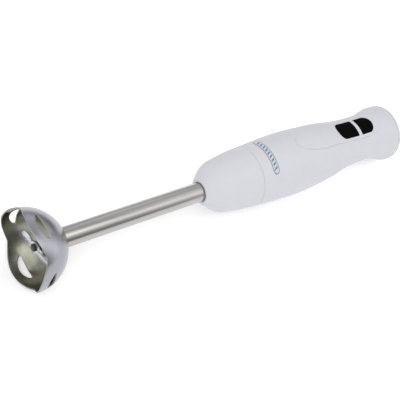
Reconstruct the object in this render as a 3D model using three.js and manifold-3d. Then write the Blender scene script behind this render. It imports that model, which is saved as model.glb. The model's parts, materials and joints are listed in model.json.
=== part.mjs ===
// Immersion blender lying on its side: bell at -X, motor handle at +X, speed buttons facing up.
// Every piece is laid out along one tool axis, where x = 0 is the mean plane of the bell's rim.
// The finished tool is tilted a little so that the bell and the handle's flare both touch z = 0.
import * as THREE from 'three';
import { mergeVertices } from 'three/addons/utils/BufferGeometryUtils.js';
import Module from 'manifold-3d';

const wasm = await Module();
wasm.setup();

// ---- Driving dimensions, in millimetres and degrees -------------------------------------------

const gap = 0.3; // between pieces that touch
const runGap = 0.3; // around a turning shaft, on the radius
const bodyFacets = 36;
const innerFacets = 24; // on hidden round faces of body size
const smallFacets = 16;
const outlineRows = 20; // along the handle's outside
const insideRows = 10; // along its inside

// Bell
const bellRadius = 31.2;
const bellWall = 1.2;
const rimWaveHeight = 2.4; // from the mean rim plane to a lobe's tip or a valley
const bellSlotLength = 17;
const bellSlotWidth = 5.4;
const bellSlotBack = 9.2; // the slot's straight edge, from the mean rim plane
const throatWall = 2.4;
const throatLength = 12;

// Tube and drive shaft
const tubeRadius = 7.8;
const tubeWall = 1;
const tubeExposed = 124;
const tubeInsertion = 24;
const shaftRadius = 2;
const bushLength = 9;

// Blade
const bladePlane = 9; // the blade's mid plane, from the mean rim plane
const bladeThickness = 1.6;
const bladeReach = 22.4;
const bladeWidth = 8.4;
const bladeHubRadius = 5.2;
const bladeAngle = -22; // of its long axis from sideways, in degrees about the tool axis
const nutRadius = 2.9;
const nutLength = 1.6;
const spacerRadius = 3.8;
const spacerLength = 3;
const sealRadius = 2.9;

// Foot adapter
const adapterLength = 46.4;
const adapterWall = 2.4;
const adapterNoseRadius = 9.4;
const adapterShoulderRadius = 21.5;
const adapterShoulderAt = 17.4; // from the nose
const adapterNoseSteepness = 1.6; // the power of the nose cone's rounded curve
const adapterInsertWall = 3;
const adapterInsertAt = 9; // from the nose
const adapterWebThickness = 2.5;

// Seam between the foot and the handle
const seamRadius = 24.7;
const seamGap = 0.6;
const seamBevel = 0.3;
const spigotRadius = 19;
const spigotWall = 2.2;
const spigotLength = 10;
const lugCount = 3;
const lugAngle = 24;
const lugHeight = 1.7;
const lugThickness = 2;
const gasketSection = 0.85;

// Couplings
const couplingRadius = 8;
const couplingBore = 3.6;
const couplingBase = 3;
const jawLength = 6;
const jawAngle = 40;

// Handle outline: distance from the seam and radius at each named place
const handleWall = 2.2;
const bulgeAt = 39;
const bulgeRadius = 26.7;
const bellyAt = 61;
const bellyRadius = 25.9;
const shoulderAt = 83;
const shoulderRadius = 23.85;
const neckAt = 99;
const neckRadius = 21.15;
const waistAt = 118;
const waistRadius = 19.85;
const gripEndAt = 132;
const gripEndRadius = 20.2;
const flareNeckAt = 147;
const flareNeckRadius = 23.65;
const flareAt = 152;
const flareRadius = 24.2;
const gripRise = 1.7; // the grip's centre line stands this far towards the buttons
const flareDrop = 1.65; // and the flare's centre line this far the other way

// End cap and cord inlet
const capLength = 6;
const capFlatRadius = 14;
const capWall = 2.2;
const capSkirtLength = 6;
const cordHoleRadius = 3.6;
const glandRadius = 6;
const glandLip = 1.2;

// Buttons and switch panel
const buttonWidth = 16;
const buttonRowFront = 90.4; // from the seam to the front end of the pair
const buttonRowLength = 40.8;
const buttonBar = 4; // between the two buttons
const buttonBarAt = 23.2; // from the front end of the pair to the bar's middle
const buttonBow = 6; // how far an outer end bows out past its straight sides
const buttonCorner = 1.2;
const buttonProud = 0.5;
const buttonFlange = 1.2;
const buttonDepth = 5.2;
const buttonTravel = 1.5;
const panelFront = 42.5; // from the seam
const panelNose = 26; // length of its tapering front end
const panelMargin = 6; // past the buttons at the back
const panelWidth = 21.4;
const panelThickness = 1.9;
const panelProud = 0.12;

// Badge
const badgeAt = 13; // from the seam
const badgeLength = 34.6;
const badgeWidth = 5.8;
const badgeThickness = 0.6;

// Motor
const motorShaftRadius = 2.5;
const bracketAt = 5.4; // from the seam to the front bracket's face
const bracketThickness = 2.5;
const bracketHubRadius = 8.2;
const bracketHubLength = 6;
const bracketLegWidth = 9;
const bracketLegThickness = 2.2;
const bushRadius = 5.5;
const statorAt = 25; // from the seam
const stackLength = 20;
const statorRadius = 21.4;
const statorFlatDepth = 2.8;
const yokeThickness = 2;
const poleWidth = 12.2;
const poleShoe = 0.5; // the least metal between the bore and a coil
const coilCornerAngle = 36; // degrees from straight up to a coil's outer corner
const coilOverhang = 4.2;
const rotorRadius = 11;
const airGap = 0.6;
const rotorSlots = 12;
const rotorSlotDepth = 3.2;
const rotorSlotWidth = 1.5;
const windingLength = 3.8;
const windingRadius = 9.3;
const commutatorRadius = 8.2;
const commutatorLength = 9;
const fanClearance = 1.4; // between the fan and the bracket's legs
const fanLength = 7;
const fanDisc = 1.2;
const fanBlades = 7;
const fanHubRadius = 6;
const brushWidth = 4;
const brushLength = 3.2;
const brushHeight = 5.4;
const holderWall = 1.2;
const holderHeight = 10.6;
const mountRingLength = 9;

// Switching
const boardThickness = 1.6;
const boardWidth = 22;
const boardLength = 60;
const boardFrontGap = 9; // in front of the button row
const switchLength = 12.8;
const switchWidth = 6.4;
const switchHeight = 6.3;
const plungerSize = 2.6;
const stemRadius = 1.6;
const stemEndAbove = 2.3; // the stem's end above the microswitch
const plungerPocket = 3.6;

// Cord clamp
const clampLength = 14;
const clampWidth = 6;
const clampHeight = 3.2;
const clampScrewRadius = 1.3;
const screwHeadRadius = 2.4;

// ---- Places along the tool axis ----------------------------------------------------------------

const domeEnd = Math.sqrt(bellRadius ** 2 - tubeRadius ** 2);
const tubeStart = domeEnd + gap;
const noseX = tubeStart + tubeExposed;
const tubeEnd = noseX + tubeInsertion;
const seamX = noseX + adapterLength;
const tubeBore = tubeRadius - tubeWall;
const throatBore = tubeBore - gap - throatWall;
const webFront = tubeEnd + gap;
const footCouplingX = webFront + adapterWebThickness + 1;
const femaleJawEnd = footCouplingX + couplingBase + jawLength;
const motorCouplingX = femaleJawEnd + 1;
const flareX = seamX + flareAt;
const buttonFrontX = seamX + buttonRowFront;
const buttonBackX = buttonFrontX + buttonRowLength;
const stackX = seamX + statorAt;
const stackEnd = stackX + stackLength;
const commutatorX = stackEnd + gap + windingLength + gap;
const rearBracketX = commutatorX + commutatorLength + 3;
const statorBore = rotorRadius + airGap;
const statorFlat = statorRadius - statorFlatDepth;
const bracketRadius = statorRadius - 1;
const bracketLegReach = Math.sqrt(bracketRadius ** 2 - (bracketLegWidth / 2) ** 2) - 0.1;
const fanRadius = bracketLegReach - bracketLegThickness - fanClearance;
const coilCorner = THREE.MathUtils.degToRad(coilCornerAngle);
const coilReach = statorRadius - yokeThickness;
const coilInner = poleWidth / 2 + gap;
const coilHalf = coilReach * Math.sin(coilCorner) - gap;
const coilInnerZ = statorBore + poleShoe;
const coilOuterZ = coilReach * Math.cos(coilCorner) - gap;
const handleStart = seamX + seamGap / 2;
const handleEnd = flareX + 3;
const capEnd = handleEnd + capLength;

// ---- Shape helpers ------------------------------------------------------------------------------

// A closed geometry with shared vertices, no empty triangles, and faces that point out.
function closed(geometry) {
  const bare = geometry.index ? geometry.toNonIndexed() : geometry.clone();
  bare.deleteAttribute('normal');
  bare.deleteAttribute('uv');
  const merged = mergeVertices(bare, 1e-3);
  const index = merged.index.array;
  const position = merged.attributes.position;
  const kept = [];
  let volume = 0;
  const corner = [new THREE.Vector3(), new THREE.Vector3(), new THREE.Vector3()];
  for (let i = 0; i < index.length; i += 3) {
    const [a, b, c] = [index[i], index[i + 1], index[i + 2]];
    if (a === b || b === c || c === a) continue;
    kept.push(a, b, c);
    corner[0].fromBufferAttribute(position, a);
    corner[1].fromBufferAttribute(position, b);
    corner[2].fromBufferAttribute(position, c);
    volume += corner[0].dot(corner[1].cross(corner[2]));
  }
  if (volume < 0) {
    for (let i = 0; i < kept.length; i += 3) [kept[i], kept[i + 1]] = [kept[i + 1], kept[i]];
  }
  merged.setIndex(kept);
  return merged;
}

// A solid that can be cut and joined, and the way back to a geometry.
function solid(geometry) {
  const shape = closed(geometry);
  const vertProperties = new Float32Array(shape.attributes.position.array);
  const triVerts = new Uint32Array(shape.index.array);
  return new wasm.Manifold(new wasm.Mesh({ numProp: 3, vertProperties, triVerts }));
}

function geometryOf(cutSolid) {
  const mesh = cutSolid.getMesh();
  const geometry = new THREE.BufferGeometry();
  geometry.setAttribute('position', new THREE.BufferAttribute(new Float32Array(mesh.vertProperties), 3));
  geometry.setIndex(new THREE.BufferAttribute(new Uint32Array(mesh.triVerts), 1));
  return geometry;
}

// A profile of [x, radius] points turned about the tool axis; a facet, not a corner, faces down.
function turned(profile, facets = bodyFacets) {
  const points = profile.map(([x, radius]) => new THREE.Vector2(radius, x));
  const geometry = new THREE.LatheGeometry(points, facets, Math.PI / facets);
  return geometry.rotateZ(-Math.PI / 2);
}

// A round bar or a ring with square ends, from x = 0 to its length.
function bar(radius, length, facets = smallFacets) {
  return turned([[0, 0], [0, radius], [length, radius], [length, 0]], facets);
}

function ring(inner, outer, length, facets = smallFacets) {
  return turned([[0, inner], [0, outer], [length, outer], [length, inner], [0, inner]], facets);
}

// A box from its lowest to its highest corner.
function block(low, high) {
  const size = high.map((value, axis) => value - low[axis]);
  const geometry = new THREE.BoxGeometry(...size);
  return geometry.translate(...low.map((value, axis) => value + size[axis] / 2));
}

// A flat outline in x and y, raised from one height to another.
function raised(outline, bottom, top, curveSegments = 8) {
  const options = { depth: top - bottom, bevelEnabled: false, curveSegments };
  return new THREE.ExtrudeGeometry(outline, options).translate(0, 0, bottom);
}

// A flat outline in y and z, carried along the tool axis from x = 0.
function carried(outline, length, curveSegments = 10) {
  const options = { depth: length, bevelEnabled: false, curveSegments };
  const geometry = new THREE.ExtrudeGeometry(outline, options);
  return geometry.rotateX(Math.PI / 2).rotateZ(Math.PI / 2);
}

// A sector of a ring, centred on straight up, from x = 0 to its length.
function sector(inner, outer, angle, length) {
  const half = THREE.MathUtils.degToRad(angle / 2);
  const middle = Math.PI / 2;
  const outline = new THREE.Shape();
  outline.absarc(0, 0, outer, middle - half, middle + half, false);
  outline.absarc(0, 0, inner, middle + half, middle - half, true);
  return carried(outline, length, 6);
}

// A compression spring standing on z = 0, its wire carried along a helix.
class HelixCurve extends THREE.Curve {
  constructor(radius, height, turns) {
    super();
    this.radius = radius;
    this.height = height;
    this.turns = turns;
  }

  getPoint(share, target = new THREE.Vector3()) {
    const angle = share * this.turns * 2 * Math.PI;
    return target.set(this.radius * Math.cos(angle), this.radius * Math.sin(angle), share * this.height);
  }
}

function spring(radius, wire, height, turns) {
  const section = new THREE.Shape();
  section.absarc(0, 0, wire, 0, 2 * Math.PI, false);
  const extrudePath = new HelixCurve(radius, height - 2 * wire, turns);
  const options = { steps: turns * 8, curveSegments: 2, extrudePath };
  return new THREE.ExtrudeGeometry(section, options).translate(0, 0, wire);
}

// ---- The handle's outline -----------------------------------------------------------------------

function smoothLine(stations) {
  const places = stations.map(([at]) => seamX + at);
  const values = stations.map(([, value]) => value);
  const line = new THREE.CubicInterpolant(places, values, 1);
  return (x) => line.evaluate(THREE.MathUtils.clamp(x, places[0], places.at(-1)))[0];
}

const handleRadius = smoothLine([
  [0, seamRadius],
  [bulgeAt / 2, (seamRadius + bulgeRadius) / 2 + 0.32],
  [bulgeAt, bulgeRadius],
  [bellyAt, bellyRadius],
  [shoulderAt, shoulderRadius],
  [neckAt, neckRadius],
  [waistAt, waistRadius],
  [gripEndAt, gripEndRadius],
  [flareNeckAt, flareNeckRadius],
  [flareAt, flareRadius],
]);

const handleCentre = smoothLine([
  [0, 0],
  [bellyAt, 0],
  [shoulderAt, gripRise * 0.55],
  [(neckAt + waistAt) / 2, gripRise],
  [gripEndAt - 5, gripRise],
  [flareNeckAt, 0],
  [flareAt, -flareDrop],
  [flareAt + capLength, -flareDrop],
]);

// The solid inside the handle's outline, drawn in by an inset, between two places on the axis.
function handleForm(inset, from, to, rows, facets = bodyFacets) {
  const profile = [[from, 0]];
  for (let row = 0; row <= rows; row += 1) {
    const x = from + ((to - from) * row) / rows;
    profile.push([x, handleRadius(x) - inset]);
  }
  profile.push([to, 0]);
  const geometry = turned(profile, facets);
  const position = geometry.attributes.position;
  for (let i = 0; i < position.count; i += 1) {
    position.setZ(i, position.getZ(i) + handleCentre(position.getX(i)));
  }
  return solid(geometry);
}

// ---- The assembly and its finishes --------------------------------------------------------------

const tool = new THREE.Group();

const finishes = {
  whitePlastic: { color: 0xe4e6ec, roughness: 0.35, metalness: 0 },
  blackRubber: { color: 0x141416, roughness: 0.6, metalness: 0 },
  blackPlastic: { color: 0x1d1d20, roughness: 0.45, metalness: 0 },
  greyPlastic: { color: 0x8d9096, roughness: 0.5, metalness: 0 },
  stainless: { color: 0xc9c7c2, roughness: 0.25, metalness: 1 },
  steel: { color: 0x9a9ca0, roughness: 0.35, metalness: 1 },
  laminate: { color: 0x6f7378, roughness: 0.5, metalness: 0.8 },
  copper: { color: 0xb5622e, roughness: 0.35, metalness: 1 },
  bronze: { color: 0xa9824e, roughness: 0.4, metalness: 1 },
  carbon: { color: 0x2b2b2d, roughness: 0.7, metalness: 0.2 },
  board: { color: 0x8a6a3a, roughness: 0.6, metalness: 0 },
};

function add(name, finish, shape, place = [0, 0, 0], turn = 0) {
  const geometry = shape instanceof wasm.Manifold ? geometryOf(shape) : shape;
  const material = new THREE.MeshStandardMaterial(finishes[finish]);
  const mesh = new THREE.Mesh(closed(geometry), material);
  mesh.name = name;
  mesh.position.set(...place);
  mesh.rotation.x = THREE.MathUtils.degToRad(turn);
  tool.add(mesh);
}

// ---- Blending foot ------------------------------------------------------------------------------

// The rim is cut to a wave: lobes straight up, down and to both sides, with pointed valleys between.
function rimCutter() {
  const reach = bellRadius + 4;
  const facets = 48;
  const depth = 10;
  const geometry = new THREE.CylinderGeometry(reach, reach, depth, facets).rotateZ(-Math.PI / 2);
  const position = geometry.attributes.position;
  for (let i = 0; i < position.count; i += 1) {
    const [y, z] = [position.getY(i), position.getZ(i)];
    const onBack = position.getX(i) > 0;
    const onRing = Math.hypot(y, z) > reach / 2;
    const lobe = Math.abs(Math.cos(2 * Math.atan2(y, z))) ** 1.2;
    const wave = rimWaveHeight * (1 - 2 * lobe) * (reach / bellRadius);
    if (onBack) position.setX(i, onRing ? wave : 0);
    else position.setX(i, -depth);
  }
  return solid(geometry);
}

// A half-moon window: a straight edge towards the tube and a bowed edge towards the rim.
function slotCutter() {
  const half = bellSlotLength / 2;
  const end = 1.6;
  const bowMiddle = bellSlotBack - bellSlotWidth;
  const bow = (bowMiddle - (bellSlotBack - end) / 4) / 0.75;
  const outline = new THREE.Shape();
  outline.moveTo(bellSlotBack, -half);
  outline.lineTo(bellSlotBack, half);
  outline.quadraticCurveTo(bellSlotBack, half + end, bellSlotBack - end, half + end * 0.8);
  outline.bezierCurveTo(bow, half * 0.6, bow, -half * 0.6, bellSlotBack - end, -half - end * 0.8);
  outline.quadraticCurveTo(bellSlotBack, -half - end, bellSlotBack, -half);
  return solid(raised(outline, bellRadius / 4, bellRadius + 4, 8));
}

function bell() {
  const innerRadius = bellRadius - bellWall;
  const rows = 8;
  const throatOuter = tubeBore - gap;
  const profile = [[-rimWaveHeight - 1, bellRadius]];
  const outerEnd = Math.asin(domeEnd / bellRadius);
  for (let row = 0; row <= rows; row += 1) {
    const angle = (outerEnd * row) / rows;
    profile.push([bellRadius * Math.sin(angle), bellRadius * Math.cos(angle)]);
  }
  profile.push([domeEnd, throatOuter], [domeEnd + throatLength, throatOuter]);
  profile.push([domeEnd + throatLength, throatBore]);
  const innerEnd = Math.acos(throatBore / innerRadius);
  for (let row = rows; row >= 0; row -= 1) {
    const angle = (innerEnd * row) / rows;
    profile.push([innerRadius * Math.sin(angle), innerRadius * Math.cos(angle)]);
  }
  profile.push([-rimWaveHeight - 1, innerRadius], profile[0]);
  let shell = solid(turned(profile)).subtract(rimCutter());
  const slot = slotCutter();
  for (const turn of [0, 90, 180, 270]) {
    shell = shell.subtract(slot.rotate([turn, 0, 0]));
  }
  return shell;
}

add('blending_bell', 'stainless', bell());
add('foot_tube', 'stainless', ring(tubeBore, tubeRadius, tubeEnd - tubeStart, bodyFacets), [tubeStart, 0, 0]);

// Plain bushes carry the drive shaft in the bell's throat and inside the tube.
const shaftBore = shaftRadius + runGap;
const lowerBush = ring(shaftBore, throatBore - gap, bushLength);
const tubeBush = ring(shaftBore, tubeBore - gap, bushLength);
const tubeMiddle = (tubeStart + tubeEnd) / 2;
add('lower_bush', 'bronze', lowerBush, [domeEnd + throatLength - bushLength, 0, 0]);
add('middle_bush', 'bronze', tubeBush, [tubeMiddle - bushLength / 2, 0, 0]);
add('upper_bush', 'bronze', tubeBush, [tubeEnd - bushLength, 0, 0]);

// The blade's stack on the end of the shaft: nut, blade, spacer, then the seal in the bell's throat.
const bladeFront = bladePlane - bladeThickness / 2;
const nutStart = bladeFront - gap - nutLength;
const spacerStart = bladePlane + bladeThickness / 2 + gap;
const sealStart = spacerStart + spacerLength + gap;
const sealShoulder = domeEnd - bellWall * 2;
const sealEnd = domeEnd + throatLength - bushLength - gap;
add('shaft_seal', 'blackRubber', turned([
  [sealStart, shaftBore],
  [sealStart, sealRadius],
  [sealShoulder, sealRadius],
  [sealShoulder, throatBore - gap],
  [sealEnd, throatBore - gap],
  [sealEnd, shaftBore],
  [sealStart, shaftBore],
], smallFacets));

const shaftStart = nutStart + 1;
const shaftEnd = femaleJawEnd - jawLength;
add('drive_shaft', 'steel', bar(shaftRadius, shaftEnd - shaftStart), [shaftStart, 0, 0]);
add('blade_spacer', 'steel', ring(shaftBore, spacerRadius, spacerLength), [spacerStart, 0, 0]);
add('blade_nut', 'blackPlastic', turned([
  [0, 0],
  [0, nutRadius * 0.55],
  [nutLength * 0.2, nutRadius * 0.9],
  [nutLength * 0.4, nutRadius],
  [nutLength, nutRadius],
  [nutLength, shaftBore],
  [1 - gap, shaftBore],
  [1 - gap, 0],
], smallFacets), [nutStart, 0, 0]);

// Two swept wings about a round hub. Each wing's leading edge bows out and its trailing edge bows in.
function bladeOutline() {
  const outline = new THREE.Shape();
  const root = bladeHubRadius * 0.8;
  outline.moveTo(root, root * 0.75);
  for (const side of [1, -1]) {
    const tip = side * bladeReach;
    const width = side * bladeWidth;
    outline.bezierCurveTo(tip * 0.45, width * 0.95, tip * 0.86, width * 0.6, tip, -width * 0.12);
    outline.quadraticCurveTo(tip * 0.66, -width * 0.02, side * root * 0.9, -side * root * 0.9);
    outline.quadraticCurveTo(0, -side * bladeHubRadius * 1.15, -side * root, -side * root * 0.75);
  }
  const hole = new THREE.Path();
  hole.absarc(0, 0, shaftBore, 0, 2 * Math.PI, false);
  outline.holes.push(hole);
  return outline;
}

add('blade', 'stainless', carried(bladeOutline(), bladeThickness), [bladeFront, 0, 0], bladeAngle);

// ---- Foot adapter -------------------------------------------------------------------------------

// The nose cone rises in a rounded curve to its shoulder, then runs straight to the seam.
function adapterRadius(x) {
  const share = (x - noseX) / adapterShoulderAt;
  if (share < 1) {
    const rise = 1 - (1 - share) ** adapterNoseSteepness;
    return adapterNoseRadius + (adapterShoulderRadius - adapterNoseRadius) * rise;
  }
  const along = (x - noseX - adapterShoulderAt) / (adapterLength - adapterShoulderAt);
  const crown = 0.55 * Math.sin(Math.PI * along);
  return THREE.MathUtils.lerp(adapterShoulderRadius, seamRadius, along) + crown;
}

const adapterEnd = seamX - seamGap / 2;
const lugX = seamX - spigotLength + 1.5;
const ribX = lugX + lugThickness + 1.4;
const tubeHole = tubeRadius + gap;

function adapterShell() {
  const rows = 8;
  const noseWall = adapterWall * 1.6;
  const outer = [];
  const inner = [];
  for (let row = 0; row <= rows; row += 1) {
    const x = noseX + (adapterEnd - seamBevel - noseX) * (row / rows) ** 1.3;
    outer.push([x, adapterRadius(x)]);
    if (x > noseX + noseWall) inner.push([x, adapterRadius(x) - adapterWall]);
  }
  const profile = [[noseX, tubeHole], ...outer];
  profile.push([adapterEnd, seamRadius - seamBevel], [adapterEnd, adapterRadius(adapterEnd) - adapterWall]);
  profile.push(...inner.reverse(), [noseX + noseWall, tubeHole], profile[0]);
  let shell = solid(turned(profile));
  const ribOuter = adapterRadius(ribX) - adapterWall / 2;
  const rib = solid(sector(spigotRadius + gap, ribOuter, lugAngle, lugThickness).translate(ribX, 0, 0));
  for (let lug = 0; lug < lugCount; lug += 1) {
    shell = shell.add(rib.rotate([(360 * lug) / lugCount, 0, 0]));
  }
  return shell;
}

add('foot_adapter', 'whitePlastic', adapterShell());

// The insert grips the tube and closes the adapter behind it, with a hole for the shaft.
const insertStart = noseX + adapterInsertAt;
const webBack = webFront + adapterWebThickness;
const webRadius = adapterRadius(webFront) - adapterWall - gap;
const insertGripRadius = tubeHole + adapterInsertWall;
add('adapter_insert', 'greyPlastic', turned([
  [insertStart, tubeHole],
  [insertStart, insertGripRadius],
  [webFront, insertGripRadius],
  [webFront, webRadius],
  [webBack, webRadius],
  [webBack, shaftRadius + 1],
  [webFront, shaftRadius + 1],
  [webFront, tubeHole],
  [insertStart, tubeHole],
], innerFacets));

// ---- Couplings and gasket -----------------------------------------------------------------------

// A disc with two jaws. The jaws of both halves sit between each other with room to turn.
function jawCoupling(bore) {
  let half = solid(ring(bore, couplingRadius, couplingBase));
  const jaw = solid(sector(couplingBore, couplingRadius, jawAngle, couplingBase / 2 + jawLength));
  for (const turn of [0, 180]) {
    half = half.add(jaw.translate([couplingBase / 2, 0, 0]).rotate([turn, 0, 0]));
  }
  return half;
}

add('foot_coupling', 'blackPlastic', jawCoupling(shaftBore), [footCouplingX, 0, 0]);
const motorCoupling = geometryOf(jawCoupling(motorShaftRadius + runGap)).rotateY(Math.PI).rotateX(Math.PI / 2);
const motorCouplingEnd = motorCouplingX + couplingBase;
add('motor_coupling', 'blackPlastic', motorCoupling, [motorCouplingEnd, 0, 0]);

const gasketRadius = spigotRadius + gasketSection + gap;
const gasketX = ribX + lugThickness + gap + gasketSection;
const gasket = new THREE.TorusGeometry(gasketRadius, gasketSection, 6, innerFacets).rotateY(Math.PI / 2);
add('coupling_gasket', 'blackRubber', gasket, [gasketX, 0, 0]);

// ---- Handle shell -------------------------------------------------------------------------------

// The two buttons share one oval-ended outline, split by a bar across it.
function buttonOutline(side, grow) {
  const half = buttonWidth / 2 + grow;
  const corner = buttonCorner + grow;
  const outerX = (side < 0 ? buttonFrontX : buttonBackX) + side * grow;
  const innerX = buttonFrontX + buttonBarAt + side * (buttonBar / 2 - grow);
  const bow = buttonBow + grow;
  const outline = new THREE.Shape();
  outline.absellipse(outerX - side * bow, 0, bow, half, -Math.PI / 2, Math.PI / 2, side < 0, 0);
  outline.lineTo(innerX + side * corner, half);
  outline.quadraticCurveTo(innerX, half, innerX, half - corner);
  outline.lineTo(innerX, corner - half);
  outline.quadraticCurveTo(innerX, -half, innerX + side * corner, -half);
  return outline;
}

// A tongue for the panel that carries the buttons: a long oval nose and a round back.
function panelOutline(grow) {
  const half = panelWidth / 2 + grow;
  const front = seamX + panelFront + panelNose;
  const back = buttonBackX + panelMargin - panelWidth / 2;
  const outline = new THREE.Shape();
  outline.absellipse(front, 0, panelNose + grow, half, Math.PI / 2, -Math.PI / 2, false, 0);
  outline.absarc(back, 0, half, -Math.PI / 2, Math.PI / 2, false);
  return outline;
}

const above = bulgeRadius + 5;
const handleOuter = handleForm(0, handleStart, handleEnd, outlineRows);
const shellInside = handleForm(handleWall, handleStart - 1, handleEnd + 1, insideRows, innerFacets);

function badgeForm(grow, inset) {
  const half = badgeWidth / 2 + grow;
  const reach = badgeLength / 2 - badgeWidth / 2;
  const outline = new THREE.Shape();
  outline.absarc(seamX + badgeAt, reach, half, 0, Math.PI, false);
  outline.absarc(seamX + badgeAt, -reach, half, Math.PI, 2 * Math.PI, false);
  const prism = solid(raised(outline, seamRadius / 2, above, 6));
  return prism.subtract(handleForm(inset, handleStart, handleEnd, outlineRows));
}

function housing() {
  const panelWindow = solid(raised(panelOutline(gap), 0, above));
  const badgeBed = badgeForm(gap, badgeThickness + gap);
  return handleOuter.subtract(shellInside).subtract(panelWindow).subtract(badgeBed);
}

function switchPanel() {
  const proud = handleForm(-panelProud, handleStart, handleEnd, outlineRows);
  const inside = handleForm(panelThickness, handleStart - 1, handleEnd + 1, insideRows, innerFacets);
  let panel = proud.intersect(solid(raised(panelOutline(0), 0, above))).subtract(inside);
  for (const side of [-1, 1]) {
    panel = panel.subtract(solid(raised(buttonOutline(side, gap), 0, above)));
  }
  return panel;
}

add('motor_housing', 'whitePlastic', housing());
add('switch_panel', 'whitePlastic', switchPanel());
const badge = badgeForm(0, badgeThickness).intersect(handleForm(-panelProud, handleStart, handleEnd, outlineRows));
add('badge', 'greyPlastic', badge);

// The nose plate closes the housing; its spigot and lugs hold the foot.
function nosePlate() {
  const spigotStart = seamX - spigotLength;
  const plateStart = handleStart + gap;
  const plateEnd = seamX + bracketAt - gap;
  const plateRadius = handleRadius(plateStart) - handleWall - gap;
  const spigotBore = spigotRadius - spigotWall;
  const profile = [
    [spigotStart, spigotBore],
    [spigotStart, spigotRadius],
    [plateStart, spigotRadius],
    [plateStart, plateRadius],
    [plateEnd, plateRadius],
    [plateEnd, motorShaftRadius + 1],
    [plateStart, motorShaftRadius + 1],
    [plateStart, spigotBore],
    [spigotStart, spigotBore],
  ];
  let plate = solid(turned(profile, innerFacets));
  const lugForm = sector(spigotRadius - spigotWall / 2, spigotRadius + lugHeight, lugAngle, lugThickness);
  const lugSolid = solid(lugForm.translate(lugX, 0, 0));
  for (let lug = 0; lug < lugCount; lug += 1) {
    const turn = (360 * lug) / lugCount;
    const screwHole = solid(bar(clampScrewRadius + gap, plateEnd - plateStart + 2, 12));
    plate = plate.add(lugSolid.rotate([turn, 0, 0]));
    plate = plate.subtract(screwHole.translate([plateStart - 1, 0, plateScrewCircle]).rotate([turn + 60, 0, 0]));
  }
  return plate;
}

const plateScrewCircle = 12.6;
add('nose_plate', 'greyPlastic', nosePlate());

// A pan-head screw along the tool axis, its head at x = 0.
function screw(length) {
  const headLength = 1.6;
  return turned([
    [-headLength, 0],
    [-headLength, screwHeadRadius * 0.8],
    [-headLength * 0.6, screwHeadRadius],
    [0, screwHeadRadius],
    [0, clampScrewRadius],
    [length, clampScrewRadius],
    [length, 0],
  ], 12);
}

const plateScrewLength = bracketAt - seamGap / 2 - gap;
for (let lug = 0; lug < lugCount; lug += 1) {
  const angle = THREE.MathUtils.degToRad((360 * lug) / lugCount + 60);
  const place = [handleStart, -plateScrewCircle * Math.sin(angle), plateScrewCircle * Math.cos(angle)];
  add(`nose_plate_screw_${lug + 1}`, 'steel', screw(plateScrewLength - gap), place);
}

// The end cap is a shallow dome with a flat middle, a skirt inside the housing and the cord's hole.
function endCap() {
  const start = handleEnd + gap;
  const edgeRadius = handleRadius(handleEnd);
  const skirtStart = handleEnd - capSkirtLength;
  const offset = handleCentre(skirtStart) + flareDrop;
  const skirtRadius = handleRadius(skirtStart) - handleWall - offset - 1.2;
  const rows = 5;
  const profile = [[skirtStart, skirtRadius - capWall], [skirtStart, skirtRadius]];
  profile.push([start, skirtRadius]);
  for (let row = 0; row <= rows; row += 1) {
    const angle = (Math.PI / 2) * (row / rows);
    const x = start + (capEnd - start) * Math.sin(angle);
    profile.push([x, capFlatRadius + (edgeRadius - capFlatRadius) * Math.cos(angle)]);
  }
  profile.push([capEnd, glandRadius + gap], [capEnd - capWall, glandRadius + gap]);
  profile.push([capEnd - capWall, skirtRadius - capWall], profile[0]);
  return turned(profile);
}

add('end_cap', 'whitePlastic', endCap(), [0, 0, -flareDrop]);

const glandStart = capEnd - capWall - gap - glandLip;
add('cord_gland', 'blackRubber', turned([
  [glandStart, cordHoleRadius],
  [glandStart, glandRadius + glandLip],
  [glandStart + glandLip, glandRadius + glandLip],
  [glandStart + glandLip, glandRadius],
  [capEnd - gap, glandRadius],
  [capEnd - gap, cordHoleRadius],
  [glandStart, cordHoleRadius],
], smallFacets), [0, 0, -flareDrop]);

// ---- Motor --------------------------------------------------------------------------------------

// A bracket: a disc and a hub around a bush, with two legs that reach to the stator.
function motorBracket(legReach, hubStart) {
  const hub = ring(bushRadius + gap, bracketHubRadius, bracketHubLength).translate(hubStart, 0, 0);
  let bracket = solid(hub);
  bracket = bracket.add(solid(ring(bushRadius + gap, bracketRadius, bracketThickness, innerFacets)));
  for (const side of [-1, 1]) {
    const edges = [side * bracketLegReach, side * (bracketLegReach - bracketLegThickness)];
    edges.sort((a, b) => a - b);
    const low = [bracketThickness / 2, edges[0], -bracketLegWidth / 2];
    bracket = bracket.add(solid(block(low, [legReach, edges[1], bracketLegWidth / 2])));
  }
  return bracket;
}

const frontBracketX = seamX + bracketAt;
const frontLeg = stackX - gap - frontBracketX;
const rearLeg = rearBracketX + bracketThickness - stackEnd - gap;
const bracketBush = ring(motorShaftRadius + runGap, bushRadius, bracketHubLength - gap);
add('front_bracket', 'steel', motorBracket(frontLeg, 0), [frontBracketX, 0, 0]);
add('front_bush', 'bronze', bracketBush, [frontBracketX, 0, 0]);
const rearHubReach = bracketThickness - bracketHubLength;
const rearBracket = geometryOf(motorBracket(rearLeg, rearHubReach)).rotateY(Math.PI);
add('rear_bracket', 'steel', rearBracket, [rearBracketX + bracketThickness, 0, 0]);
add('rear_bush', 'bronze', bracketBush, [rearBracketX, 0, 0]);

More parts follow.
